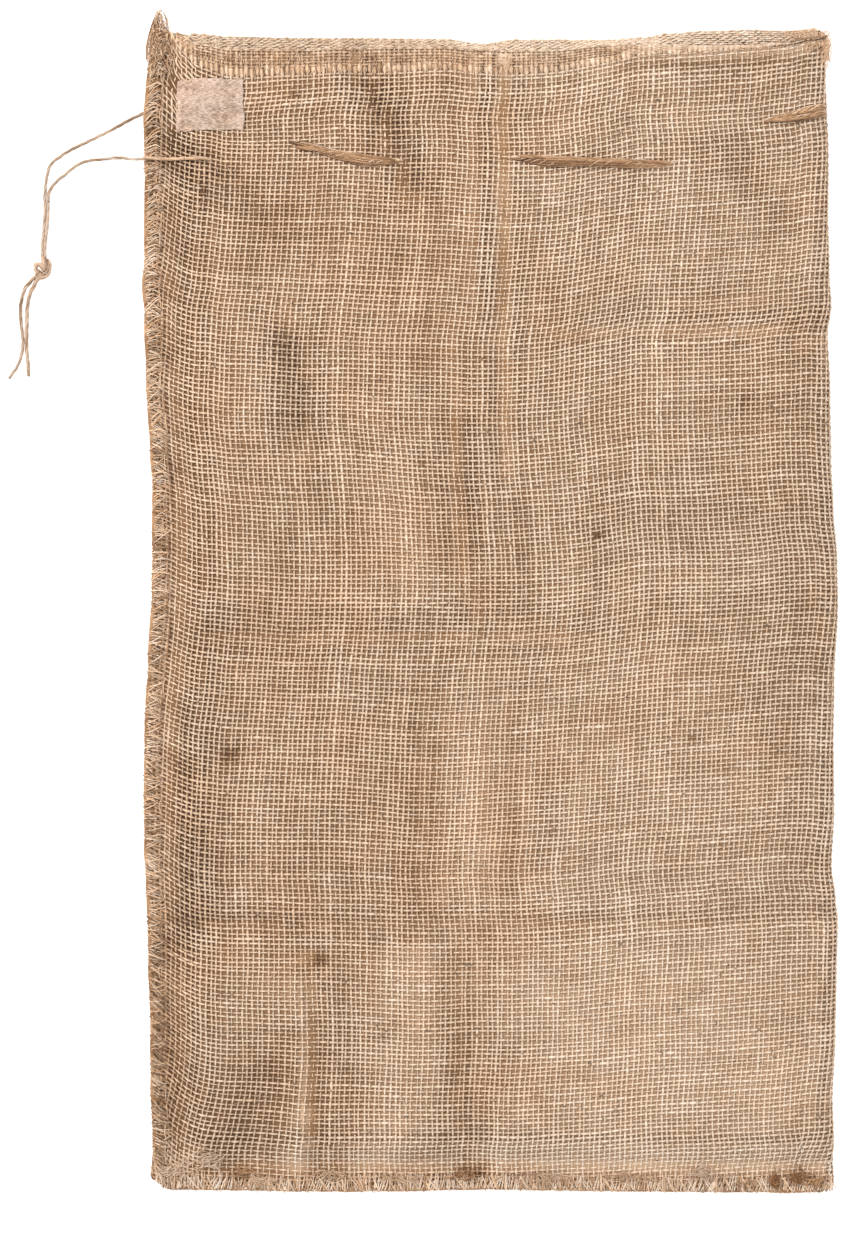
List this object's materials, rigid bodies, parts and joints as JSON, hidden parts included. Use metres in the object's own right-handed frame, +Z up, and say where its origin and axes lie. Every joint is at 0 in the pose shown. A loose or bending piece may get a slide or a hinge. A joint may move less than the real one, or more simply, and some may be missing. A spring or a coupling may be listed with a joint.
{
  "type": "burlap drawstring sack",
  "caption": "Flat empty sack of open jute weave, folded on one side, sewn on the other and at its foot, with a twine drawstring knotted beside its open mouth.",
  "frame": {"origin": "centre of the sack's footprint, on the surface it lies on", "axes": "+X across the sack to its folded side, +Y up the sack to its mouth, +Z up off the surface"},
  "size_m": [0.3641, 0.518, 0.0139],
  "materials": {
    "jute": "open plain weave of matt jute yarn, tan with darker gaps",
    "twine": "matt two-ply jute twine with loose fibres",
    "label": "pale matt cloth, bare, slightly mottled"
  },
  "bodies": {
    "root": {"sack_cloth": "jute", "label_patch": "label", "drawstring_run": "twine", "drawstring_upper_leg": "twine", "drawstring_lower_leg": "twine", "drawstring_knot": "twine", "drawstring_left_tail": "twine", "drawstring_right_tail": "twine"}
  },
  "joints": []
}
